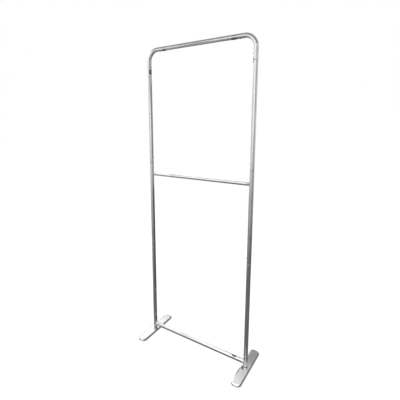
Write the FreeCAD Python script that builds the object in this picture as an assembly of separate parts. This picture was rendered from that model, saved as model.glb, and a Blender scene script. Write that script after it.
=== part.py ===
# Free-standing banner display: a rectangle of round aluminium tube on two flat feet.
# Millimetres, +Z up, X along the frame's width, origin on the floor midway between the feet.
import FreeCAD, Part
import math
import os

Vector = FreeCAD.Vector

# Round tube of the frame
tube_od = 32.0
tube_wall = 1.5
seam_gap = 1.0
edge_break = 0.8

# Straight tubes, from the middle of one seam to the middle of the next
top_bar_span = 568.0
upper_span = 703.5
middle_span = 668.0
lower_span = 728.0

# Top elbows: the bend on its axis, and the straight lengths along the top and down the side
elbow_radius = 80.0
elbow_straight = 70.0
elbow_drop = 76.5

# Joiners inside the seams
joiner_wall = 1.5
joiner_clearance = 0.15
joiner_setback = 6.0

# Bottom corners
bottom_bar_z = 48.0
corner_arm_room = 28.0
corner_leg_room = 12.0
heel_radius = 6.0

# Snap buttons and their spring strips
button_d = 8.6
button_clearance = 0.3
button_stand = 3.0
button_round = 1.4
button_setback = 23.0
button_flange_d = 12.0
button_flange = 1.2
button_seat_clearance = 0.25
strip_width = 8.0
strip_thickness = 0.7
strip_leg = 36.0
strip_tail = 8.0
strip_gap = 0.1

# Crossbar with its plugs, spring pins, springs and seats
crossbar_od = 25.0
crossbar_wall = 1.5
crossbar_room = 30.0
saddle_gap = 0.3
collar_length = 12.0
plug_stem = 30.0
plug_clearance = 0.1
pin_d = 10.0
pin_clearance = 0.1
pin_hole_clearance = 0.4
pin_reach = 9.0
pin_round = 2.5
pin_flange_d = 18.0
pin_flange = 3.0
pin_flange_gap = 0.15
spring_wire = 1.2
spring_mean_d = 13.0
spring_room = 34.0
spring_gap = 0.2
spring_turns = 7
seat_thickness = 5.0

# Feet
foot_length = 400.0
foot_width = 66.0
foot_thickness = 13.0
foot_corner = 26.0
bevel_width = 10.0
bevel_height = 4.0
pad_d = 16.0
pad_height = 2.0
pad_inset_x = 18.0
pad_inset_y = 22.0

# Foot screws, washers and threaded inserts
screw_d = 8.0
screw_clearance = 0.1
screw_head_d = 14.0
screw_head = 4.4
screw_head_round = 1.2
screw_head_clearance = 1.0
screw_head_gap = 0.2
screw_end_room = 2.0
socket_d = 5.0
socket_depth = 2.6
insert_wall = 2.0
insert_clearance = 0.05
washer_thickness = 1.0
swivel_gap = 0.15

# One overrun for every cut
overrun = 2.0

# How closely an edge has to match its circle to be rounded, as a share of its radius
match_share = 0.001

# Places worked out from the sizes above
tube_r = tube_od / 2
bore_r = tube_r - tube_wall
joiner_r = bore_r - joiner_clearance
joiner_bore_r = joiner_r - joiner_wall
joiner_reach = elbow_straight - joiner_setback
button_offset = joiner_reach - button_setback
corner_floor_z = bottom_bar_z - tube_r
corner_foot_z = pad_height + foot_thickness + swivel_gap + washer_thickness
corner_arm = corner_arm_room + joiner_reach
corner_seam_z = corner_floor_z + corner_leg_room + joiner_reach
lower_seam_z = corner_seam_z + lower_span
middle_seam_z = lower_seam_z + middle_span
elbow_seam_z = middle_seam_z + upper_span
elbow_leg = elbow_radius + elbow_straight
top_z = elbow_seam_z + elbow_radius + elbow_drop
axis_x = top_bar_span / 2 + elbow_leg
arm_seam_x = axis_x - corner_arm
crossbar_z = middle_seam_z - joiner_reach - crossbar_room

up = Vector(0, 0, 1)
down = Vector(0, 0, -1)
sides = {"left": -1, "right": 1}
solids = {}


# A solid turned about its own axis, from its half outline of (radius, distance along) points
def turned(outline, base, direction):
    points = [Vector(radius, 0, along) for radius, along in outline]
    face = Part.Face(Part.makePolygon(points + points[:1]))
    solid = face.revolve(Vector(0, 0, 0), up, 360)
    solid.Placement = FreeCAD.Placement(base, FreeCAD.Rotation(up, direction))
    return solid


def rod(base, direction, length, radius):
    return Part.makeCylinder(radius, length, base, direction)


# A length of tube with its outer edges broken at the start, the end or both
def tube(base, direction, length, radius, wall, start_break, end_break):
    outline = [(radius - wall, 0)]
    outline += [(radius - start_break, 0), (radius, start_break)] if start_break else [(radius, 0)]
    outline += [(radius, length - end_break), (radius - end_break, length)] if end_break else [(radius, length)]
    outline += [(radius - wall, length)]
    return turned(outline, base, direction)


# A straight frame tube between two seams
def seam_tube(start, end):
    along = (end - start).normalize()
    length = start.distanceToPoint(end) - seam_gap
    return tube(start + along * (seam_gap / 2), along, length, tube_r, tube_wall, edge_break, edge_break)


def round_edge(solid, radius, edge_radius, centre):
    edges = [edge for edge in solid.Edges
             if isinstance(edge.Curve, Part.Circle)
             and abs(edge.Curve.Radius - edge_radius) < edge_radius * match_share
             and edge.Curve.Center.distanceToPoint(centre) < edge_radius * match_share]
    return solid.makeFillet(radius, edges)


# Top elbow: a quarter bend with a straight leg along the top and one down the side
def elbow(side):
    side_start = Vector(side * axis_x, 0, elbow_seam_z + seam_gap / 2)
    bend_start = Vector(side * axis_x, 0, top_z - elbow_radius)
    bend_centre = Vector(side * (axis_x - elbow_radius), 0, top_z - elbow_radius)
    top_start = Vector(side * (top_bar_span / 2 + seam_gap / 2), 0, top_z)
    side_leg = tube(side_start, up, elbow_drop - seam_gap / 2, tube_r, tube_wall, edge_break, 0)
    top_leg = tube(top_start, Vector(side, 0, 0), elbow_straight - seam_gap / 2, tube_r, tube_wall, edge_break, 0)
    ring = Part.Face([Part.Wire(Part.makeCircle(tube_r, bend_start, up)),
                      Part.Wire(Part.makeCircle(bore_r, bend_start, up))])
    bend = ring.revolve(bend_centre, Vector(0, -side, 0), 90)
    return side_leg.fuse([bend, top_leg]).removeSplitter()


# Bottom corner: a leg that stands on the foot, closed by a floor, with an arm for the bottom bar
def bottom_corner(side):
    foot_point = Vector(side * axis_x, 0, corner_foot_z)
    leg_height = corner_seam_z - seam_gap / 2 - corner_foot_z
    outline = [(0, 0), (tube_r, 0), (tube_r, leg_height - edge_break), (tube_r - edge_break, leg_height),
               (0, leg_height)]
    leg = round_edge(turned(outline, foot_point, up), heel_radius, tube_r, foot_point)
    inward = Vector(-side, 0, 0)
    arm_start = Vector(side * axis_x, 0, bottom_bar_z)
    arm_length = corner_arm - seam_gap / 2
    arm = turned([(0, 0), (tube_r, 0), (tube_r, arm_length - edge_break), (tube_r - edge_break, arm_length),
                  (0, arm_length)], arm_start, inward)
    leg_bore = rod(Vector(side * axis_x, 0, corner_floor_z), up, corner_seam_z, bore_r)
    arm_bore = rod(arm_start, inward, corner_arm + overrun, bore_r)
    insert_hole = rod(foot_point - up * overrun, up, corner_floor_z, screw_d / 2 + insert_wall + insert_clearance)
    return leg.fuse(arm).cut(leg_bore.fuse([arm_bore, insert_hole])).removeSplitter()


# Seams with a joiner and a snap button: the middle of the seam, the way to the sleeve that holds the button,
# the side that the button faces, and the node of that sleeve
def snap_seams():
    seams = {}
    for name, side in sides.items():
        inward = Vector(-side, 0, 0)
        outward = Vector(side, 0, 0)
        x = side * axis_x
        top_seam = Vector(side * top_bar_span / 2, 0, top_z)
        seams["top_" + name] = (top_seam, outward, down, "elbow_" + name)
        seams["elbow_" + name] = (Vector(x, 0, elbow_seam_z), up, inward, "elbow_" + name)
        seams["upper_" + name] = (Vector(x, 0, middle_seam_z), up, inward, "upper_upright_" + name)
        seams["lower_" + name] = (Vector(x, 0, lower_seam_z), up, inward, "middle_upright_" + name)
        seams["base_" + name] = (Vector(x, 0, corner_seam_z), up, inward, "lower_upright_" + name)
        arm_seam = Vector(side * arm_seam_x, 0, bottom_bar_z)
        seams["bottom_" + name] = (arm_seam, outward, up, "bottom_corner_" + name)
    return seams


def joiner(seam, toward):
    return tube(seam - toward * joiner_reach, toward, joiner_reach * 2, joiner_r, joiner_wall,
                edge_break, edge_break)


# Round head that stands out of the tube, with a flange that keeps it inside the joiner
button_seat = math.sqrt(joiner_bore_r ** 2 - (button_flange_d / 2) ** 2) - button_seat_clearance
button_base = button_seat - button_flange


def snap_button(centre, facing):
    tip = tube_r + button_stand
    outline = [(0, button_base), (button_flange_d / 2, button_base), (button_flange_d / 2, button_seat),
               (button_d / 2, button_seat), (button_d / 2, tip), (0, tip)]
    return round_edge(turned(outline, centre, facing), button_round, button_d / 2, centre + facing * tip)


# U-shaped spring strip: one leg under the button, one on the far wall of the joiner, bent towards the seam
def spring_strip(centre, toward, facing):
    top = button_base - strip_gap
    bottom = -math.sqrt(joiner_bore_r ** 2 - (strip_width / 2) ** 2) + strip_gap
    outer_r = (top - bottom) / 2
    across = toward.cross(facing)
    bend_centre = centre - toward * strip_leg + facing * ((top + bottom) / 2)
    start = bend_centre - across * (strip_width / 2)
    legs_length = strip_leg + strip_tail

    def u_block(radius):
        nose = rod(start, across, strip_width, radius)
        corner = start - facing * radius
        edges = [corner, corner + toward * legs_length, corner + toward * legs_length + facing * (radius * 2),
                 corner + facing * (radius * 2)]
        block = Part.Face(Part.makePolygon(edges + edges[:1])).extrude(across * strip_width)
        return nose.fuse(block)

    return u_block(outer_r).cut(u_block(outer_r - strip_thickness)).removeSplitter()


# Crossbar: a thinner tube whose end plugs are hollowed to sit against the uprights
plug_face_x = axis_x - tube_r - saddle_gap
crossbar_end_x = plug_face_x - collar_length
stem_end_x = crossbar_end_x - plug_stem
crossbar_bore_r = crossbar_od / 2 - crossbar_wall
flange_front_x = stem_end_x - pin_flange_gap
flange_back_x = flange_front_x - pin_flange
seat_front_x = flange_back_x - spring_room


def crossbar_plug(side):
    outward = Vector(side, 0, 0)
    collar_start = Vector(side * crossbar_end_x, 0, crossbar_z)
    stem_start = Vector(side * stem_end_x, 0, crossbar_z)
    collar = rod(collar_start, outward, axis_x - crossbar_end_x, crossbar_od / 2)
    stem = rod(stem_start, outward, plug_stem, crossbar_bore_r - plug_clearance)
    saddle = rod(Vector(side * axis_x, 0, crossbar_z - crossbar_od), up, crossbar_od * 2, tube_r + saddle_gap)
    bore = rod(stem_start - outward * overrun, outward, axis_x, pin_d / 2 + pin_clearance)
    return collar.fuse(stem).cut(saddle.fuse(bore)).removeSplitter()


def crossbar_pin(side):
    outward = Vector(side, 0, 0)
    base = Vector(side * flange_back_x, 0, crossbar_z)
    length = axis_x - tube_r + pin_reach - flange_back_x
    outline = [(0, 0), (pin_flange_d / 2, 0), (pin_flange_d / 2, pin_flange), (pin_d / 2, pin_flange),
               (pin_d / 2, length), (0, length)]
    return round_edge(turned(outline, base, outward), pin_round, pin_d / 2, base + outward * length)


# Arc that leaves start towards corner and turns to reach end, both as far from corner
def corner_arc(start, corner, end):
    weight = start.distanceToPoint(end) / (start.distanceToPoint(corner) * 2)
    middle = (start + corner * (weight * 2) + end) * (1 / (2 + weight * 2))
    return Part.Arc(start, middle, end).toShape()


# Two arcs that run smoothly from one point and heading to another
def paired_arcs(start, start_heading, end, end_heading):
    chord = end - start
    slope = chord.dot(start_heading + end_heading)
    spread = 2 * (1 - start_heading.dot(end_heading))
    reach = (math.sqrt(slope ** 2 + spread * chord.dot(chord)) - slope) / spread
    start_corner = start + start_heading * reach
    end_corner = end - end_heading * reach
    middle = (start_corner + end_corner) * 0.5
    return [corner_arc(start, start_corner, middle), corner_arc(middle, end_corner, end)]


# Coil spring between the pin's flange and its seat, wound in quarter turns
def pin_spring(side):
    radius = spring_mean_d / 2
    height = spring_room - spring_wire - spring_gap * 2
    turn_quarters = 4
    quarters = spring_turns * turn_quarters
    points = []
    headings = []
    for quarter in range(quarters + 1):
        angle = 2 * math.pi * quarter / turn_quarters
        points.append(Vector(radius * math.cos(angle), radius * math.sin(angle), height * quarter / quarters))
        headings.append(Vector(-radius * math.sin(angle), radius * math.cos(angle),
                               height / (2 * math.pi * spring_turns)).normalize())
    arcs = []
    for quarter in range(quarters):
        arcs += paired_arcs(points[quarter], headings[quarter], points[quarter + 1], headings[quarter + 1])
    section = Part.Wire(Part.makeCircle(spring_wire / 2, points[0], headings[0]))
    coil = Part.Wire(arcs).makePipeShell([section], True, False)
    base = Vector(side * (seat_front_x + spring_gap + spring_wire / 2), 0, crossbar_z)
    coil.Placement = FreeCAD.Placement(base, FreeCAD.Rotation(up, Vector(side, 0, 0)))
    return coil


def spring_seat(side):
    outward = Vector(side, 0, 0)
    base = Vector(side * (seat_front_x - seat_thickness), 0, crossbar_z)
    return rod(base, outward, seat_thickness, crossbar_bore_r - plug_clearance)


# Hole in the inner wall of an upright for the crossbar's pin
def pin_hole(side):
    start = Vector(side * axis_x, 0, crossbar_z)
    return rod(start, Vector(-side, 0, 0), tube_r + overrun, pin_d / 2 + pin_hole_clearance)


def rounded_outline(length, width, radius, z):
    left, right = -width / 2, width / 2
    front, back = -length / 2, length / 2
    diagonal = radius * (1 - math.sqrt(0.5))

    def point(x, y):
        return Vector(x, y, z)

    return Part.Wire([
        Part.makeLine(point(left + radius, front), point(right - radius, front)),
        Part.Arc(point(right - radius, front), point(right - diagonal, front + diagonal),
                 point(right, front + radius)).toShape(),
        Part.makeLine(point(right, front + radius), point(right, back - radius)),
        Part.Arc(point(right, back - radius), point(right - diagonal, back - diagonal),
                 point(right - radius, back)).toShape(),
        Part.makeLine(point(right - radius, back), point(left + radius, back)),
        Part.Arc(point(left + radius, back), point(left + diagonal, back - diagonal),
                 point(left, back - radius)).toShape(),
        Part.makeLine(point(left, back - radius), point(left, front + radius)),
        Part.Arc(point(left, front + radius), point(left + diagonal, front + diagonal),
                 point(left + radius, front)).toShape()])


# Foot: a rounded plate with a bevel round its top, and a stepped hole for the screw it swivels on
def foot_plate(side):
    bevel_z = pad_height + foot_thickness - bevel_height
    low = rounded_outline(foot_length, foot_width, foot_corner, pad_height)
    mid = rounded_outline(foot_length, foot_width, foot_corner, bevel_z)
    top = rounded_outline(foot_length - bevel_width * 2, foot_width - bevel_width * 2,
                          foot_corner - bevel_width, pad_height + foot_thickness)
    slab = Part.Face(low).extrude(up * (foot_thickness - bevel_height))
    bevel = Part.makeLoft([mid, top], True, True)
    hole = rod(Vector(0, 0, 0), up, pad_height + foot_thickness + overrun, screw_d / 2 + screw_clearance)
    recess = rod(Vector(0, 0, 0), up, pad_height + screw_head + screw_head_gap,
                 screw_head_d / 2 + screw_head_clearance)
    plate = slab.fuse(bevel).cut(hole.fuse(recess)).removeSplitter()
    plate.translate(Vector(side * axis_x, 0, 0))
    return plate


def foot_pads(side):
    pads = []
    for x in (-1, 1):
        for y in (-1, 1):
            base = Vector(side * axis_x + x * (foot_width / 2 - pad_inset_x), y * (foot_length / 2 - pad_inset_y), 0)
            pads.append(rod(base, up, pad_height, pad_d / 2))
    return pads


def foot_screw(side):
    base = Vector(side * axis_x, 0, pad_height)
    end = corner_floor_z - screw_end_room - pad_height
    outline = [(0, 0), (screw_head_d / 2, 0), (screw_head_d / 2, screw_head), (screw_d / 2, screw_head),
               (screw_d / 2, end), (0, end)]
    screw = round_edge(turned(outline, base, up), screw_head_round, screw_head_d / 2, base)
    flats = socket_d / math.sqrt(3)
    corners = [base + Vector(flats * math.cos(math.radians(60 * k)), flats * math.sin(math.radians(60 * k)), 0)
               for k in range(6)]
    socket = Part.Face(Part.makePolygon(corners + corners[:1])).extrude(up * socket_depth)
    return screw.cut(socket)


def foot_washer(side):
    base = Vector(side * axis_x, 0, corner_foot_z - washer_thickness)
    return tube(base, up, washer_thickness, tube_r - heel_radius,
                tube_r - heel_radius - screw_d / 2 - screw_clearance, 0, 0)


def corner_insert(side):
    base = Vector(side * axis_x, 0, corner_foot_z)
    return tube(base, up, corner_floor_z - corner_foot_z, screw_d / 2 + insert_wall,
                insert_wall - insert_clearance, 0, 0)


# The frame's tubes
solids["top_bar"] = seam_tube(Vector(-top_bar_span / 2, 0, top_z), Vector(top_bar_span / 2, 0, top_z))
solids["bottom_bar"] = seam_tube(Vector(-arm_seam_x, 0, bottom_bar_z), Vector(arm_seam_x, 0, bottom_bar_z))
for name, side in sides.items():
    x = side * axis_x
    solids["elbow_" + name] = elbow(side)
    solids["upper_upright_" + name] = seam_tube(Vector(x, 0, middle_seam_z), Vector(x, 0, elbow_seam_z))
    middle_upright = seam_tube(Vector(x, 0, lower_seam_z), Vector(x, 0, middle_seam_z))
    solids["middle_upright_" + name] = middle_upright.cut(pin_hole(side))
    solids["lower_upright_" + name] = seam_tube(Vector(x, 0, corner_seam_z), Vector(x, 0, lower_seam_z))
    solids["bottom_corner_" + name] = bottom_corner(side)

# Joiners, snap buttons and spring strips at every seam, with the holes for the buttons
strips = []
for name, (seam, toward, facing, sleeve) in snap_seams().items():
    centre = seam + toward * button_offset
    hole = rod(centre, facing, tube_r + overrun, button_d / 2 + button_clearance)
    solids["joiner_" + name] = joiner(seam, toward).cut(hole)
    solids[sleeve] = solids[sleeve].cut(hole)
    solids["snap_button_" + name] = snap_button(centre, facing)
    strips.append(spring_strip(centre, toward, facing))
solids["snap_spring_strips"] = Part.makeCompound(strips)

# The crossbar
solids["crossbar_tube"] = tube(Vector(-crossbar_end_x, 0, crossbar_z), Vector(1, 0, 0), crossbar_end_x * 2,
                               crossbar_od / 2, crossbar_wall, 0, 0)
for name, side in sides.items():
    solids["crossbar_plug_" + name] = crossbar_plug(side)
    solids["crossbar_pin_" + name] = crossbar_pin(side)
    solids["pin_spring_" + name] = pin_spring(side)
solids["pin_spring_seats"] = Part.makeCompound([spring_seat(side) for side in sides.values()])

# The feet
for name, side in sides.items():
    solids["foot_plate_" + name] = foot_plate(side)
    solids["foot_pads_" + name] = Part.makeCompound(foot_pads(side))
for name, make in (("foot_screws", foot_screw), ("foot_washers", foot_washer), ("corner_inserts", corner_insert)):
    solids[name] = Part.makeCompound([make(side) for side in sides.values()])

os.makedirs("parts", exist_ok=True)
for name, shape in solids.items():
    shape.exportStep("parts/" + name + ".step")
print("frame width", axis_x * 2 + tube_od, "frame height", top_z + tube_r, "nodes", len(solids))
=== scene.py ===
import math

import bmesh
import bpy
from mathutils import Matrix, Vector


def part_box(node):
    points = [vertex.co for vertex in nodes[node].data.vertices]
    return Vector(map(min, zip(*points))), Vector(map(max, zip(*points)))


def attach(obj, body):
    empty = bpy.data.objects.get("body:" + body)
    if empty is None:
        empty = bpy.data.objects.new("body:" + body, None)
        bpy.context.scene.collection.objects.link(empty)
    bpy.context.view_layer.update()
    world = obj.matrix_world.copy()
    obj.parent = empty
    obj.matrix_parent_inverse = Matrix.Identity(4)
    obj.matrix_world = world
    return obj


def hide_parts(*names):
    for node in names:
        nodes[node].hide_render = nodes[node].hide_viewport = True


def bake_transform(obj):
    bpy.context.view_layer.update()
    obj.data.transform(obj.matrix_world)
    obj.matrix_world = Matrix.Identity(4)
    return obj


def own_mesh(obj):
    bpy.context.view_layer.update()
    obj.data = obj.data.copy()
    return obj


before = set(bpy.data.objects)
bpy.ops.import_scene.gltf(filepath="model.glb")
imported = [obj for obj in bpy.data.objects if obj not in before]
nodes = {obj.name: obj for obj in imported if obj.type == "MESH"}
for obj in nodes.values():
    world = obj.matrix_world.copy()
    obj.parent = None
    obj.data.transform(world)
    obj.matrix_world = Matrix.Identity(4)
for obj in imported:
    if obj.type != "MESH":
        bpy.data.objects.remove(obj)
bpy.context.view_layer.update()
mm = 0.001
sides = {"left": -1, "right": 1}
seamNames = ("top", "elbow", "upper", "lower", "base", "bottom")
print("frame loaded:", len(nodes), "nodes")

# places on the frame, read from its own pieces
upperLow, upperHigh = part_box("upper_upright_right")
middleLow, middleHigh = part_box("middle_upright_right")
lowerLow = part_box("lower_upright_right")[0]
topLow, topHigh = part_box("top_bar")
bottomLow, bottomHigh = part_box("bottom_bar")
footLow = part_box("foot_plate_right")[0]
tubeRadius = (upperHigh.x - upperLow.x) / 2
uprightX = (upperHigh.x + upperLow.x) / 2
topZ = (topHigh.z + topLow.z) / 2
bottomZ = (bottomHigh.z + bottomLow.z) / 2
seamGap = upperLow.z - middleHigh.z
elbowSeamZ = upperHigh.z + seamGap / 2
middleSeamZ = upperLow.z - seamGap / 2
lowerSeamZ = middleLow.z - seamGap / 2
baseSeamZ = lowerLow.z - seamGap / 2
topSeamX = topHigh.x + seamGap / 2
bottomSeamX = bottomHigh.x + seamGap / 2
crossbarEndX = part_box("crossbar_tube")[1].x
bendRadius = 80 * mm           # of the elbow's axis
bendX = uprightX - bendRadius
bendZ = topZ - bendRadius


# sRGB hex to the linear colour that the sockets take
def hexColour(text):
    channels = [int(text[start:start + 2], 16) / 255 for start in (1, 3, 5)]
    linear = [c / 12.92 if c <= 0.04045 else ((c + 0.055) / 1.055) ** 2.4 for c in channels]
    return (*linear, 1.0)


# one node with its settings; an input is a plain value or another node's output
def addNode(tree, kind, inputs=None, **settings):
    node = tree.nodes.new(kind)
    for key, value in settings.items():
        setattr(node, key, value)
    for key, value in (inputs or {}).items():
        if isinstance(value, bpy.types.NodeSocket):
            tree.links.new(value, node.inputs[key])
        else:
            node.inputs[key].default_value = value
    return node


# one sum on plain values or outputs
def reckon(tree, operation, *values, **settings):
    sumNode = addNode(tree, "ShaderNodeMath", dict(enumerate(values)), operation=operation, **settings)
    return sumNode.outputs[0]


# a share of 0 gives the first colour and a share of 1 the second
def mixTones(tree, share, first, second):
    mix = addNode(tree, "ShaderNodeMix", {"Factor": share, "A": first, "B": second}, data_type="RGBA")
    return mix.outputs["Result"]


def startMaterial(name):
    material = bpy.data.materials.new(name)
    material.use_nodes = True
    material.node_tree.nodes.clear()
    return material, material.node_tree


def endMaterial(tree, shader):
    addNode(tree, "ShaderNodeOutputMaterial", {"Surface": shader})


def dress(material, *names):
    for name in names:
        slots = nodes[name].data.materials
        slots.clear()
        slots.append(material)


# noise of a real grain size, given in millimetres along each of its three coordinates
def grain(tree, place, sizesMm, detail=2.0):
    scales = [1 / (size * mm) for size in sizesMm]
    stretched = addNode(tree, "ShaderNodeMapping", {"Vector": place, "Scale": scales})
    noise = addNode(tree, "ShaderNodeTexNoise", {
        "Vector": stretched.outputs[0], "Scale": 1.0, "Detail": detail})
    return noise.outputs[0]


# where most values of one noise lie, and of two noises added
noiseSpread = (0.35, 0.65)
pairSpread = (0.75, 1.25)


# moves a value from the span in which it varies to a range of values
def spread(tree, value, low, high, span=noiseSpread):
    mapped = addNode(tree, "ShaderNodeMapRange", {
        "Value": value, "From Min": span[0], "From Max": span[1], "To Min": low, "To Max": high})
    return mapped.outputs[0]


# Extruded tube, satin anodised: a soft silver metal whose die lines run along the tube, so bright and dark
# streaks follow its length, with cloudy patches in the oxide and duller scuffed rings where tubes are joined
tubeFinish = {
    "light": "#D6D7D9",
    "dark": "#C6C8CB",
    "scuffed": "#96989B",
    "roughLow": 0.22,
    "roughHigh": 0.30,
    "roughScuff": 0.34,
    "dieLineMm": 1.6,          # real die lines are about 0.2 mm, drawn coarser so that they show
    "dieLineLengthMm": 900,
    "dieLineDepthMm": 0.05,
    "dieLineBump": 0.25,
    "cloudMm": 70,
    "cloudStretch": 2,
    "cloudDetail": 3.0,
    "scuffMm": 5,
    "scuffDetail": 4.0,
    "scuffSpan": (0.50, 0.62),
    "scuffReachMm": 18,
}


def tubeAluminium(name, aroundBend, seamZs, seamXs):
    material, tree = startMaterial(name)
    place = addNode(tree, "ShaderNodeTexCoord").outputs["Object"]
    axes = addNode(tree, "ShaderNodeSeparateXYZ", {"Vector": place}).outputs
    sideX = reckon(tree, "ABSOLUTE", axes[0])
    if aroundBend:
        # distance from the bend's centre line keeps each die line on its own track through the elbow
        outX = reckon(tree, "SUBTRACT", sideX, bendX)
        upZ = reckon(tree, "SUBTRACT", axes[2], bendZ)
        clearX = reckon(tree, "MAXIMUM", outX, 0.0)
        clearZ = reckon(tree, "MAXIMUM", upZ, 0.0)
        reach = addNode(tree, "ShaderNodeCombineXYZ", {0: clearX, 1: clearZ}).outputs[0]
        across = addNode(tree, "ShaderNodeVectorMath", {0: reach}, operation="LENGTH").outputs["Value"]
        along = reckon(tree, "SUBTRACT", axes[2], axes[0])
    else:
        across = axes[2]
        along = axes[0]
    track = addNode(tree, "ShaderNodeCombineXYZ", {0: across, 1: axes[1], 2: along}).outputs[0]
    line = tubeFinish["dieLineMm"]
    dieLines = grain(tree, track, (line, line, tubeFinish["dieLineLengthMm"]))
    cloud = tubeFinish["cloudMm"]
    cloudSizes = (cloud, cloud, cloud * tubeFinish["cloudStretch"])
    clouds = grain(tree, place, cloudSizes, tubeFinish["cloudDetail"])
    scuff = tubeFinish["scuffMm"]
    scuffs = grain(tree, place, (scuff, scuff, scuff), tubeFinish["scuffDetail"])
    # nearest seam, so that the scuffs gather where the tubes are pushed together
    nearest = None
    for value, seams in ((axes[2], seamZs), (sideX, seamXs)):
        for seam in seams:
            gap = reckon(tree, "ABSOLUTE", reckon(tree, "SUBTRACT", value, seam))
            nearest = gap if nearest is None else reckon(tree, "MINIMUM", nearest, gap)
    closeness = spread(tree, nearest, 1.0, 0.0, (0.0, tubeFinish["scuffReachMm"] * mm))
    speckle = spread(tree, scuffs, 0.0, 1.0, tubeFinish["scuffSpan"])
    wear = reckon(tree, "MULTIPLY", closeness, speckle)
    tone = spread(tree, reckon(tree, "ADD", dieLines, clouds), 0.0, 1.0, pairSpread)
    metalTone = mixTones(tree, tone, hexColour(tubeFinish["dark"]), hexColour(tubeFinish["light"]))
    colour = mixTones(tree, wear, metalTone, hexColour(tubeFinish["scuffed"]))
    gloss = spread(tree, clouds, tubeFinish["roughLow"], tubeFinish["roughHigh"])
    rough = addNode(tree, "ShaderNodeMix", {"Factor": wear, "A": gloss, "B": tubeFinish["roughScuff"]})
    bump = addNode(tree, "ShaderNodeBump", {
        "Height": dieLines, "Strength": tubeFinish["dieLineBump"],
        "Distance": tubeFinish["dieLineDepthMm"] * mm})
    shader = addNode(tree, "ShaderNodeBsdfPrincipled", {
        "Base Color": colour, "Metallic": 1.0, "Roughness": rough.outputs["Result"],
        "Normal": bump.outputs[0]})
    endMaterial(tree, shader.outputs[0])
    return material


patchDetail = 3.0


# mixed finish for the smaller pieces: two tones in patches, a fine grain and a spread of roughness
def grainFinish(name, finish):
    material, tree = startMaterial(name)
    place = addNode(tree, "ShaderNodeTexCoord").outputs["Object"]
    patch = finish["patchMm"]
    patches = grain(tree, place, (patch, patch, patch), patchDetail)
    fine = finish["grainMm"]
    grains = grain(tree, place, (fine, fine, fine))
    tone = spread(tree, reckon(tree, "ADD", patches, grains), 0.0, 1.0, pairSpread)
    colour = mixTones(tree, tone, hexColour(finish["dark"]), hexColour(finish["light"]))
    rough = spread(tree, patches, finish["roughLow"], finish["roughHigh"])
    bump = addNode(tree, "ShaderNodeBump", {
        "Height": grains, "Strength": finish["bump"], "Distance": finish["grainDepthMm"] * mm})
    inputs = {"Base Color": colour, "Metallic": finish["metallic"], "Roughness": rough,
              "Normal": bump.outputs[0]}
    if "ior" in finish:
        inputs["IOR"] = finish["ior"]
    shader = addNode(tree, "ShaderNodeBsdfPrincipled", inputs)
    endMaterial(tree, shader.outputs[0])
    return material


# Sand-cast aluminium, tumbled: as silver as the tube but with a fine pebbled grain and no die lines
castCorner = {"light": "#D2D3D5", "dark": "#BEC0C3", "patchMm": 22, "grainMm": 1.4, "grainDepthMm": 0.10,
              "bump": 0.25, "metallic": 1.0, "roughLow": 0.26, "roughHigh": 0.38}
# Drawn aluminium tube, mill finish: duller and greyer, as it is never anodised
millJoiner = {"light": "#A9ABAE", "dark": "#8E9093", "patchMm": 14, "grainMm": 1.0, "grainDepthMm": 0.06,
              "bump": 0.2, "metallic": 1.0, "roughLow": 0.34, "roughHigh": 0.48}
# Nickel-plated steel, tumble polished: a bright hard dome with faint rubbing marks
buttonNickel = {"light": "#D6D5D1", "dark": "#BDBCB8", "patchMm": 4, "grainMm": 0.6, "grainDepthMm": 0.02,
                "bump": 0.15, "metallic": 1.0, "roughLow": 0.14, "roughHigh": 0.24}
# Blued spring steel: dark, smooth and slightly oily
springSteel = {"light": "#6E7278", "dark": "#54575C", "patchMm": 5, "grainMm": 0.8, "grainDepthMm": 0.02,
               "bump": 0.15, "metallic": 1.0, "roughLow": 0.24, "roughHigh": 0.36}
# Moulded nylon, grey: a soft sheen with a very fine spark-eroded texture
plugNylon = {"light": "#CDCFD1", "dark": "#BEC0C2", "patchMm": 9, "grainMm": 0.9, "grainDepthMm": 0.05,
             "bump": 0.3, "metallic": 0.0, "roughLow": 0.36, "roughHigh": 0.46, "ior": 1.53}
# Moulded rubber: nearly black, dull, with dust in its pores
padRubber = {"light": "#3A3A3B", "dark": "#262627", "patchMm": 6, "grainMm": 0.8, "grainDepthMm": 0.08,
             "bump": 0.4, "metallic": 0.0, "roughLow": 0.72, "roughHigh": 0.88, "ior": 1.52}
# Zinc-plated steel: pale grey with a faint cloudy bloom
zincSteel = {"light": "#C3C6C8", "dark": "#A8ACB0", "patchMm": 5, "grainMm": 0.7, "grainDepthMm": 0.03,
             "bump": 0.2, "metallic": 1.0, "roughLow": 0.24, "roughHigh": 0.36}
# Natural nylon: a milky white washer
washerNylon = {"light": "#E6E3DA", "dark": "#D6D2C6", "patchMm": 7, "grainMm": 0.8, "grainDepthMm": 0.04,
               "bump": 0.2, "metallic": 0.0, "roughLow": 0.38, "roughHigh": 0.48, "ior": 1.53}
# Turned brass: warm yellow with fine lathe grain
insertBrass = {"light": "#C9A662", "dark": "#A98746", "patchMm": 5, "grainMm": 0.6, "grainDepthMm": 0.03,
               "bump": 0.2, "metallic": 1.0, "roughLow": 0.24, "roughHigh": 0.34}
# Calendered vinyl film: matt dark grey with paler rubbed spots
markerVinyl = {"light": "#4A4B4D", "dark": "#2F3032", "patchMm": 5, "grainMm": 0.8, "grainDepthMm": 0.03,
               "bump": 0.25, "metallic": 0.0, "roughLow": 0.46, "roughHigh": 0.62, "ior": 1.5}

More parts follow.
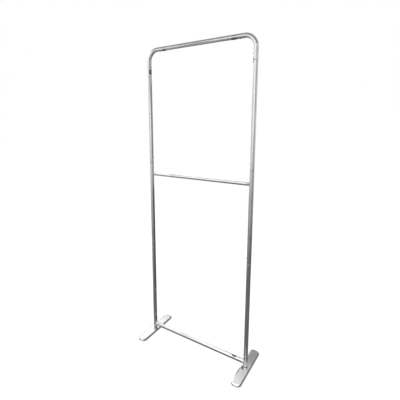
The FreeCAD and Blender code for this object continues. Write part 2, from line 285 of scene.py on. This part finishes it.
# Silver powder coat on steel plate: metal flake under a clear film with a slight orange peel, so it shines
# softly and sparkles close up, and the bevel catches the light as a pale rim
footCoat = {
    "light": "#CFD0D1",
    "dark": "#BFC0C2",
    "flakeMm": 1.1,            # real flakes are about 0.05 mm, drawn coarser so that they show
    "peelMm": 3.0,
    "peelDepthMm": 0.06,
    "peelBump": 0.2,
    "dustMm": 60,
    "dustDetail": 4.0,
    "roughLow": 0.17,
    "roughHigh": 0.25,
    "metallic": 0.9,
    "filmWeight": 0.1,
    "filmRough": 0.35,
}


def footSilver(name):
    material, tree = startMaterial(name)
    place = addNode(tree, "ShaderNodeTexCoord").outputs["Object"]
    flake = footCoat["flakeMm"]
    flakes = addNode(tree, "ShaderNodeTexVoronoi", {"Vector": place, "Scale": 1 / (flake * mm)})
    flakeTone = addNode(tree, "ShaderNodeSeparateXYZ", {"Vector": flakes.outputs["Color"]}).outputs[0]
    peel = footCoat["peelMm"]
    peelWaves = grain(tree, place, (peel, peel, peel))
    dust = footCoat["dustMm"]
    dustPatches = grain(tree, place, (dust, dust, dust), footCoat["dustDetail"])
    colour = mixTones(tree, flakeTone, hexColour(footCoat["dark"]), hexColour(footCoat["light"]))
    rough = spread(tree, dustPatches, footCoat["roughLow"], footCoat["roughHigh"])
    bump = addNode(tree, "ShaderNodeBump", {
        "Height": peelWaves, "Strength": footCoat["peelBump"], "Distance": footCoat["peelDepthMm"] * mm})
    shader = addNode(tree, "ShaderNodeBsdfPrincipled", {
        "Base Color": colour, "Metallic": footCoat["metallic"], "Roughness": rough, "Normal": bump.outputs[0],
        "Coat Weight": footCoat["filmWeight"], "Coat Roughness": footCoat["filmRough"]})
    endMaterial(tree, shader.outputs[0])
    return material


uprightSeams = (elbowSeamZ, middleSeamZ, lowerSeamZ, baseSeamZ)
satinTube = tubeAluminium("satinAnodisedTube", True, uprightSeams, (topSeamX,))
satinRail = tubeAluminium("satinAnodisedRail", False, (), (bottomSeamX,))
satinCrossbar = tubeAluminium("satinAnodisedCrossbar", False, (), (crossbarEndX,))
castMetal = grainFinish("tumbledCastAluminium", castCorner)
nylon = grainFinish("greyMouldedNylon", plugNylon)
zinc = grainFinish("zincPlatedSteel", zincSteel)
spring = grainFinish("bluedSpringSteel", springSteel)
nickel = grainFinish("nickelPlatedSteel", buttonNickel)
mill = grainFinish("millAluminium", millJoiner)
silverCoat = footSilver("silverPowderCoat")
rubber = grainFinish("mouldedRubber", padRubber)
vinyl = grainFinish("darkVinylFilm", markerVinyl)
dress(satinTube, "top_bar")
dress(satinRail, "bottom_bar")
dress(satinCrossbar, "crossbar_tube")
dress(spring, "snap_spring_strips")
dress(nylon, "pin_spring_seats")
dress(zinc, "foot_screws")
dress(grainFinish("naturalNylon", washerNylon), "foot_washers")
dress(grainFinish("turnedBrass", insertBrass), "corner_inserts")
for side in sides:
    for piece in ("elbow", "upper_upright", "middle_upright", "lower_upright"):
        dress(satinTube, piece + "_" + side)
    for seam in seamNames:
        dress(mill, "joiner_" + seam + "_" + side)
        dress(nickel, "snap_button_" + seam + "_" + side)
    dress(castMetal, "bottom_corner_" + side)
    dress(nylon, "crossbar_plug_" + side)
    dress(zinc, "crossbar_pin_" + side)
    dress(spring, "pin_spring_" + side)
    dress(silverCoat, "foot_plate_" + side)
    dress(rubber, "foot_pads_" + side)
print("finishes made:", len(bpy.data.materials))

weldDistance = 0.001 * mm
sharpDeg = 40


def addPiece(name, points, faces, material):
    mesh = bpy.data.meshes.new(name)
    mesh.from_pydata(points, [], faces)
    shell = bmesh.new()
    shell.from_mesh(mesh)
    bmesh.ops.remove_doubles(shell, verts=shell.verts, dist=weldDistance)
    bmesh.ops.recalc_face_normals(shell, faces=shell.faces)
    shell.to_mesh(mesh)
    shell.free()
    mesh.shade_smooth()
    mesh.set_sharp_from_angle(angle=math.radians(sharpDeg))
    mesh.materials.append(material)
    piece = bpy.data.objects.new(name, mesh)
    bpy.context.scene.collection.objects.link(piece)
    return piece


# Joint markers: thin blank film on the inner side of each corner joint, half on each tube
jointMarker = {
    "halfLengthMm": 17.5,
    "widthMm": 17,
    "cornerMm": 3.0,
    "thicknessMm": 0.25,
    "liftMm": 0.02,
    "edgeMm": 1.0,             # kept back from the broken edge of the tube
    # from the line facing the inside of the frame, towards the front
    "turnDeg": {"top": 24, "elbow": 24, "base": 24, "bottom": 10},
    "bare": [("left", "bottom")],      # joints without a marker
    "lengthSteps": 14,
    "widthSteps": 12,
}


# one half marker: a curved patch with rounded outer corners, an inner and an outer layer and a rim
def markerHalf(seam, along, facing, turn, way):
    radius = jointMarker["cornerMm"] * mm
    start = seamGap / 2 + jointMarker["edgeMm"] * mm
    end = jointMarker["halfLengthMm"] * mm
    steps = jointMarker["lengthSteps"]
    columns = jointMarker["widthSteps"]
    forward = Vector((0, -1, 0))
    points = []
    for depth in (jointMarker["liftMm"], jointMarker["liftMm"] + jointMarker["thicknessMm"]):
        reach = tubeRadius + depth * mm
        for step in range(steps + 1):
            # closer rows towards the rounded end
            share = math.sin(step / steps * math.pi / 2)
            distance = start + (end - start) * share
            inset = max(0.0, radius - (end - distance))
            rounded = math.sqrt(max(radius ** 2 - inset ** 2, 0.0))
            halfWidth = jointMarker["widthMm"] * mm / 2 - radius + rounded
            for column in range(columns + 1):
                offset = halfWidth * (2 * column / columns - 1)
                angle = math.radians(turn) + offset / tubeRadius
                outward = facing * math.cos(angle) + forward * math.sin(angle)
                points.append(seam + along * (way * distance) + outward * reach)
    row = columns + 1
    layer = row * (steps + 1)
    faces = []
    for step in range(steps):
        for column in range(columns):
            a = step * row + column
            faces.append((a, a + row, a + row + 1, a + 1))
            faces.append((layer + a, layer + a + 1, layer + a + row + 1, layer + a + row))
    rim = list(range(row))
    rim += [step * row + columns for step in range(1, steps + 1)]
    rim += [steps * row + column for column in range(columns - 1, -1, -1)]
    rim += [step * row for step in range(steps - 1, 0, -1)]
    for a, b in zip(rim, rim[1:] + rim[:1]):
        faces.append((a, b, layer + b, layer + a))
    return points, faces


upward = Vector((0, 0, 1))
for side, sign in sides.items():
    inward = Vector((-sign, 0, 0))
    x = sign * uprightX
    corners = {
        "top": (Vector((sign * topSeamX, 0, topZ)), inward, -upward),
        "elbow": (Vector((x, 0, elbowSeamZ)), upward, inward),
        "base": (Vector((x, 0, baseSeamZ)), upward, inward),
        "bottom": (Vector((sign * bottomSeamX, 0, bottomZ)), inward, upward),
    }
    for joint, (seam, along, facing) in corners.items():
        if (side, joint) in jointMarker["bare"]:
            continue
        points, faces = [], []
        for way in (-1, 1):
            halfPoints, halfFaces = markerHalf(seam, along, facing, jointMarker["turnDeg"][joint], way)
            faces += [tuple(index + len(points) for index in face) for face in halfFaces]
            points += halfPoints
        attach(addPiece("jointMarker." + joint + "." + side, points, faces, vinyl), "frame")
print("joint markers made")

# Casting fillet: the rounded bead where the arm of a bottom corner meets its leg
cornerFillet = {
    "beadMm": 2.4,
    "softenShare": 0.12,       # rounds the crotch of the curve at the front and back
    "points": 96,
    "sidesRound": 10,
}
for side, sign in sides.items():
    line = []
    for count in range(cornerFillet["points"]):
        turn = 2 * math.pi * count / cornerFillet["points"]
        reach = tubeRadius * math.hypot(math.sin(turn), cornerFillet["softenShare"])
        line.append(Vector((sign * (uprightX - reach), tubeRadius * math.cos(turn),
                            bottomZ + tubeRadius * math.sin(turn))))
    points, faces = [], []
    around = cornerFillet["sidesRound"]
    centre = Vector((sign * uprightX, 0, bottomZ))
    for count, place in enumerate(line):
        heading = (line[(count + 1) % len(line)] - line[count - 1]).normalized()
        out = (place - centre).normalized()
        across = heading.cross(out).normalized()
        out = across.cross(heading)
        for spoke in range(around):
            angle = 2 * math.pi * spoke / around
            spokeWay = out * math.cos(angle) + across * math.sin(angle)
            points.append(place + spokeWay * cornerFillet["beadMm"] * mm)
    for count in range(len(line)):
        after = (count + 1) % len(line)
        for spoke in range(around):
            beside = (spoke + 1) % around
            faces.append((count * around + spoke, count * around + beside, after * around + beside,
                          after * around + spoke))
    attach(addPiece("cornerFillet." + side, points, faces, castMetal), "frame")
print("corner fillets made")

# Pin springs: each coil is copied into an object of its own on the frame, and the part it comes from is
# hidden
for side, sign in sides.items():
    node = "pin_spring_" + side
    joint = "retract_pin_" + side
    coil = bpy.data.objects.new("pinCoil." + side, nodes[node].data.copy())
    bpy.context.scene.collection.objects.link(coil)
    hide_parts(node)
    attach(coil, "frame")
    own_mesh(coil)
print("pin springs made")

# Spring strips: the strip mesh is split into one piece for each button, each face going to the button nearest
# it, and the whole strip part is hidden
buttonSpots = {}
for side in sides:
    for seam in seamNames:
        buttonLow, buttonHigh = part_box("snap_button_" + seam + "_" + side)
        buttonSpots[(seam, side)] = (buttonLow + buttonHigh) / 2
stripMesh = nodes["snap_spring_strips"].data
stripFaces = {spot: [] for spot in buttonSpots}
for face in stripMesh.polygons:
    nearest = min(buttonSpots, key=lambda spot: (buttonSpots[spot] - face.center).length)
    stripFaces[nearest].append(tuple(face.vertices))
for (seam, side), corners in stripFaces.items():
    used = sorted({index for face in corners for index in face})
    newIndex = {index: count for count, index in enumerate(used)}
    points = [stripMesh.vertices[index].co.copy() for index in used]
    faces = [tuple(newIndex[index] for index in face) for face in corners]
    strip = addPiece("springStrip." + seam + "." + side, points, faces, spring)
    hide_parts("snap_spring_strips")
    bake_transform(strip)
print("spring strips made")

# Studio: white floor and surroundings for the camera, with a soft shadow kept on the floor and a contact
# shadow painted near the feet
studio = {
    "floorSize": 60.0,
    "floorDiffuse": "#A8A8A8",
    "floorGlow": 0.84,
    "paintedShadowTone": "#000000",
    "contactMm": 14,           # how far from a foot its contact shadow reaches
    "contactDepth": 3.0,
    "contactSamples": 16,
    "contactLean": (-0.6, -0.7, 0.6),
    "worldTone": "#FFFFFF",
    "worldFill": 0.45,
    "roomHalfWidth": 4.6,
    "roomFront": -6.0,
    "roomBack": 4.6,
    "roomHeight": 3.6,
    "roomFloorLift": 0.0005,
}
# grey levels of the room that the metal mirrors, where 1 is white
roomLevels = {"roomRight": 0.40, "roomFrontRight": 0.60, "roomLeft": 0.95, "roomBack": 0.46,
              "roomFront": 1.08, "roomCeiling": 0.42, "roomFloor": 0.60}
# fades along x, y or z, as axis 0, 1 or 2: from the start level at one place to the full level at another
roomFades = {
    "roomRight": {"axis": 2, "from": 0.0, "to": 1.4, "start": 0.22},
    "roomFrontRight": {"axis": 2, "from": 0.0, "to": 1.4, "start": 0.24},
    "roomFront": {"axis": 2, "from": 0.0, "to": 1.3, "start": 0.55},
    "roomFloor": {"axis": 1, "from": -1.5, "to": -4.6, "start": 0.18},
    "sideCard": {"axis": 2, "from": 0.95, "to": 1.75, "start": 0.26},
    "elbowCard": {"axis": 2, "from": 1.98, "to": 2.28, "start": 0.95},
    "heelFlag": {"axis": 1, "from": 0.24, "to": 0.44, "start": 0.56},
}
# cards that are clear from above
seenFromBelow = {"legTop"}


def levelCorners(xFrom, xTo, yFrom, yTo, z):
    return [(xFrom, yFrom, z), (xTo, yFrom, z), (xTo, yTo, z), (xFrom, yTo, z)]


def standingCorners(near, far, low, high):
    return [(*near, low), (*far, low), (*far, high), (*near, high)]


def stagePlane(name, corners, material):
    mesh = bpy.data.meshes.new(name)
    mesh.from_pydata(corners, [], [(0, 1, 2, 3)])
    mesh.materials.append(material)
    plane = bpy.data.objects.new(name, mesh)
    bpy.context.scene.collection.objects.link(plane)
    return plane


# 1 for what the camera sees directly, in metal or through glass, and 0 for light that bounces
def seenRays(tree):
    path = addNode(tree, "ShaderNodeLightPath").outputs
    seen = path["Is Camera Ray"]
    for ray in ("Is Glossy Ray", "Is Transmission Ray"):
        seen = reckon(tree, "ADD", seen, path[ray], use_clamp=True)
    return seen


floorMaterial, floorTree = startMaterial("studioFloor")
# the floor close to a foot is open only to light from the front and left
leanX, leanY, leanZ = Vector(studio["contactLean"]).normalized()
lean = addNode(floorTree, "ShaderNodeCombineXYZ", {0: leanX, 1: leanY, 2: leanZ}).outputs[0]
openness = addNode(floorTree, "ShaderNodeAmbientOcclusion", {
    "Distance": studio["contactMm"] * mm, "Normal": lean}, samples=studio["contactSamples"]).outputs["AO"]
# painted contact shadow: ambient occlusion darkens both the floor's colour and its glow close to the feet
contact = reckon(floorTree, "POWER", openness, studio["contactDepth"])
floorTone = mixTones(floorTree, contact, hexColour(studio["paintedShadowTone"]), hexColour(studio["floorDiffuse"]))
floorPaint = addNode(floorTree, "ShaderNodeBsdfDiffuse", {"Color": floorTone})
floorSeen = reckon(floorTree, "MULTIPLY", seenRays(floorTree), studio["floorGlow"])
floorGlow = reckon(floorTree, "MULTIPLY", floorSeen, contact)
floorLight = addNode(floorTree, "ShaderNodeEmission", {"Strength": floorGlow})
floorMix = addNode(floorTree, "ShaderNodeAddShader", {0: floorPaint.outputs[0], 1: floorLight.outputs[0]})
endMaterial(floorTree, floorMix.outputs[0])
edge = studio["floorSize"] / 2
stagePlane("studioFloor", levelCorners(-edge, edge, -edge, edge, 0), floorMaterial)

world = bpy.data.worlds.new("studioWorld")
bpy.context.scene.world = world
world.use_nodes = True
worldTree = world.node_tree
worldTree.nodes.clear()
worldLevel = addNode(worldTree, "ShaderNodeMapRange", {
    "Value": seenRays(worldTree), "To Min": studio["worldFill"]})
backdrop = addNode(worldTree, "ShaderNodeBackground", {
    "Color": hexColour(studio["worldTone"]), "Strength": worldLevel.outputs[0]})
addNode(worldTree, "ShaderNodeOutputWorld", {"Surface": backdrop.outputs[0]})


# grey room: shows only in the metal, as the walls of a photo studio do
def roomSurface(name, corners, level):
    material, tree = startMaterial(name)
    strength = level
    if name in roomFades:
        fade = roomFades[name]
        place = addNode(tree, "ShaderNodeNewGeometry").outputs["Position"]
        along = addNode(tree, "ShaderNodeSeparateXYZ", {"Vector": place}).outputs[fade["axis"]]
        strength = spread(tree, along, fade["start"], level, (fade["from"], fade["to"]))
    shader = addNode(tree, "ShaderNodeEmission", {"Strength": strength}).outputs[0]
    if name in seenFromBelow:
        below = addNode(tree, "ShaderNodeNewGeometry").outputs["Backfacing"]
        clear = addNode(tree, "ShaderNodeBsdfTransparent").outputs[0]
        shader = addNode(tree, "ShaderNodeMixShader", {0: below, 1: clear, 2: shader}).outputs[0]
    endMaterial(tree, shader)
    wall = stagePlane(name, corners, material)
    wall.visible_camera = False
    wall.visible_diffuse = False
    wall.visible_transmission = False
    wall.visible_volume_scatter = False
    wall.visible_shadow = False


half = studio["roomHalfWidth"]
front = studio["roomFront"]
back = studio["roomBack"]
low = studio["roomFloorLift"]
high = studio["roomHeight"]
roomCorners = {
    "roomRight": standingCorners((half, 0), (half, back), low, high),
    "roomFrontRight": standingCorners((half, front), (half, 0), low, high),
    "roomLeft": standingCorners((-half, front), (-half, back), low, high),
    "roomBack": standingCorners((-half, back), (half, back), low, high),
    "roomFront": standingCorners((-half, front), (half, front), low, high),
    "roomCeiling": levelCorners(-half, half, front, back, high),
    "roomFloor": levelCorners(-half, half, front, back, low),
}
for name, corners in roomCorners.items():
    roomSurface(name, corners, roomLevels[name])

# Level panels and cards, each a rectangle in metres: x from, x to, y from, y to, height and level.
# The heel flag darkens the back half of the right foot, and the two leg cards lighten the end of its leg
levelCards = {
    "leftPanel": (-4.5, -1.8, -5.9, 4.5, 3.30, 1.6),
    "middlePanel": (-1.8, 0.2, -5.9, 2.4, 3.30, 1.8),
    "backPanel": (-1.8, 0.2, 2.4, 3.42, 3.30, 1.32),
    "rightPanel": (0.2, 3.0, -2.2, 3.3, 3.30, 1.7),
    "frontPanel": (0.2, 4.2, -5.9, -2.2, 3.30, 0.75),
    "topBarFlag": (-0.66, 0.85, -0.30, 0.62, 2.50, 0.40),
    "leftFloor": (-4.5, -0.95, -2.6, 2.2, 0.001, 0.42),
    "heelFlag": (-0.05, 0.55, 0.24, 0.95, 0.25, 0.38),
    "legFloor": (0.475, 0.505, -0.06, 0.05, 0.001, 0.95),
    "legTop": (0.05, 0.85, -0.62, -0.10, 0.35, 2.2),
}
for name, (*rectangle, level) in levelCards.items():
    roomSurface(name, levelCorners(*rectangle), level)
# Toe cards: on the floor before each foot, so that the front end of the plate mirrors white
toeCard = {"beforeMm": 40, "underMm": 12, "innerMm": 8, "outerMm": 45, "z": 0.001, "level": 0.95}
for side, sign in sides.items():
    xFrom = sign * uprightX - toeCard["innerMm"] * mm
    xTo = sign * uprightX + toeCard["outerMm"] * mm
    yFrom = footLow.y - toeCard["beforeMm"] * mm
    yTo = footLow.y + toeCard["underMm"] * mm
    roomSurface("toeCard." + side, levelCorners(xFrom, xTo, yFrom, yTo, toeCard["z"]), toeCard["level"])
# Standing cards: one lightens the outer side of the right upright above the crossbar, three darken the left
# upright below its elbow and along its inner side, and one greys the back half of the left foot
standingCards = {
    "sideCard": {"from": (0.72, 0.02), "to": (0.52, 0.34), "low": 0.95, "high": 2.42, "level": 0.90},
    "elbowCard": {"from": (-0.42, -0.49), "to": (-0.05, -0.30), "low": 1.98, "high": 2.44, "level": 0.24},
    "innerFlag": {"from": (-0.30, -0.08), "to": (-0.38, 0.13), "low": 1.53, "high": 2.14, "level": 0.32},
    "lowerFlag": {"from": (-0.30, -0.08), "to": (-0.38, 0.13), "low": 0.35, "high": 1.29, "level": 0.10},
    "footCard": {"from": (-2.62, 2.50), "to": (-1.85, 2.50), "low": 1.70, "high": 2.42, "level": 1.0},
}
for name, card in standingCards.items():
    roomSurface(name, standingCorners(card["from"], card["to"], card["low"], card["high"]), card["level"])

# Soft boxes: level is the brightness of the lamp's face, where 1 is white
softBoxes = {
    "backLeftBox": {"place": (-2.2, 2.6, 1.9), "aim": (-2.2, 0.0, 1.9), "width": 2.4, "height": 2.2,
                    "level": 1.6, "glossy": True},
    "frontBox": {"place": (1.5, -4.2, 2.2), "aim": (0.3, 0.0, 1.6), "width": 1.4, "height": 1.6,
                 "level": 1.15, "glossy": True},
    "topFill": {"place": (0.0, -0.4, 3.4), "aim": (0.0, 0.0, 0.0), "width": 4.0, "height": 4.0,
                "level": 0.9, "glossy": False},
}
for name, box in softBoxes.items():
    lamp = bpy.data.lights.new(name, "AREA")
    lamp.shape = "RECTANGLE"
    lamp.size = box["width"]
    lamp.size_y = box["height"]
    lamp.energy = box["level"] * math.pi * box["width"] * box["height"]
    holder = bpy.data.objects.new(name, lamp)
    bpy.context.scene.collection.objects.link(holder)
    holder.location = box["place"]
    beam = Vector(box["aim"]) - Vector(box["place"])
    holder.rotation_euler = beam.to_track_quat("-Z", "Y").to_euler()
    holder.visible_camera = False
    holder.visible_glossy = box["glossy"]
print("studio lit")

# Camera, fitted to the tube edges, bars and feet: right of the frame, a little above its middle
shot = {
    "place": (1.1916, -1.9260, 1.8065),
    "tiltDeg": 90 - 10.07,     # 90 looks level
    "turnDeg": 32.47,
    "lensMm": 27.603,
    "sensorMm": 36.0,
    "shiftX": 0.0173,
    "shiftY": -0.0521,
    "clipStart": 0.05,
    "clipEnd": 200.0,
}
cameraData = bpy.data.cameras.new("shotCamera")
cameraData.lens = shot["lensMm"]
cameraData.sensor_width = shot["sensorMm"]
cameraData.shift_x = shot["shiftX"]
cameraData.shift_y = shot["shiftY"]
cameraData.clip_start = shot["clipStart"]
cameraData.clip_end = shot["clipEnd"]
camera = bpy.data.objects.new("shotCamera", cameraData)
bpy.context.scene.collection.objects.link(camera)
camera.location = shot["place"]
camera.rotation_euler = (math.radians(shot["tiltDeg"]), 0, math.radians(shot["turnDeg"]))
bpy.context.scene.camera = camera
bpy.context.scene.view_settings.view_transform = "Standard"
